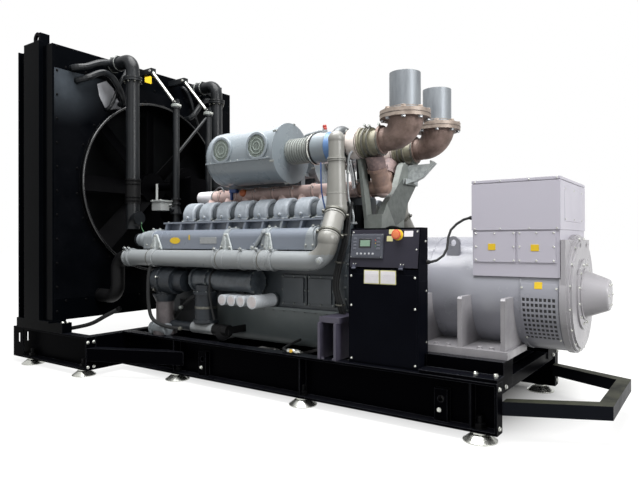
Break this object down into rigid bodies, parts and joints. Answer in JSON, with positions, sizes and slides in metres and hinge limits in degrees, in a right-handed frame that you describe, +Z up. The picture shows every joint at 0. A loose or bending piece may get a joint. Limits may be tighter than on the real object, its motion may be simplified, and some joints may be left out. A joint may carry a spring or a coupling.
{
  "type": "diesel generator set",
  "caption": "Open diesel generator set: V engine with radiator, twin turbochargers, alternator and a black control cabinet on a steel ladder base with outriggers.",
  "frame": {"origin": "on the floor, under the middle of the overall length and width", "axes": "+X along the crankshaft from the radiator to the alternator, +Y away from the control cabinet, +Z up"},
  "size_m": [5.57, 2.522, 3.323],
  "materials": {
    "base_paint": "satin black over rolled steel",
    "zinc_feet": "zinc plated, bright",
    "radiator_paint": "gloss black",
    "radiator_fins": "black dipped fins",
    "stay_steel": "dark grey posts with bright rods",
    "coolant_paint": "satin black",
    "hose_rubber": "matte",
    "sump_paint": "dark grey green engine enamel",
    "engine_casting": "painted light grey, sand cast",
    "engine_paint": "light grey engine enamel",
    "manifold_iron": "terracotta heat paint",
    "turbo_iron": "light grey",
    "heated_iron": "heat browned, bare",
    "stub_steel": "bare mill scale",
    "filter_paint": "gloss white",
    "alternator_paint": "light grey, semi gloss",
    "grille_steel": "grey, square mesh",
    "box_paint": "light violet grey, semi gloss",
    "cabinet_paint": "black powder coat",
    "controller_plastic": "dark grey",
    "stop_plastic": "red",
    "cable_rubber": "black"
  },
  "bodies": {
    "generator_set": {"base_rails": "base_paint", "base_cross_members": "base_paint", "outriggers": "base_paint", "end_frame": "base_paint", "isolator_feet": "zinc_feet", "radiator_frames": "radiator_paint", "radiator_core": "radiator_fins", "radiator_tanks": "radiator_paint", "fan_shroud": "radiator_paint", "fan": "radiator_paint", "fan_drive": "radiator_paint", "radiator_stays": "stay_steel", "coolant_pipes": "coolant_paint", "charge_air_hoses": "hose_rubber", "sump": "sump_paint", "crankcase": "sump_paint", "crankcase_doors": "sump_paint", "gear_case": "engine_casting", "flywheel_housing": "engine_casting", "cylinder_heads": "engine_casting", "rocker_covers": "engine_casting", "charge_air_manifolds": "engine_paint", "charge_air_pipes": "engine_paint", "exhaust_manifolds": "manifold_iron", "turbochargers": "turbo_iron", "exhaust_elbows": "heated_iron", "exhaust_stubs": "stub_steel", "turbo_stand": "engine_casting", "air_cleaners": "engine_paint", "air_ducts": "engine_paint", "oil_cooler": "sump_paint", "oil_filters": "filter_paint", "water_pump": "sump_paint", "engine_supports": "sump_paint", "alternator_frame": "alternator_paint", "alternator_feet": "alternator_paint", "alternator_end_shield": "alternator_paint", "inlet_grilles": "grille_steel", "exciter_cover": "alternator_paint", "terminal_box": "box_paint", "control_cabinet": "cabinet_paint", "control_cable": "cable_rubber"},
    "instrument_panel": {"instrument_door": "cabinet_paint", "engine_controller": "controller_plastic", "stop_button": "stop_plastic"}
  },
  "joints": [
    {"name": "instrument_door_hinge", "type": "hinge", "parent": "generator_set", "child": "instrument_panel", "pos_m": [1.3865, -0.753, 1.06], "axis": [1, 0, 0], "range_deg": [0, 95]}
  ]
}
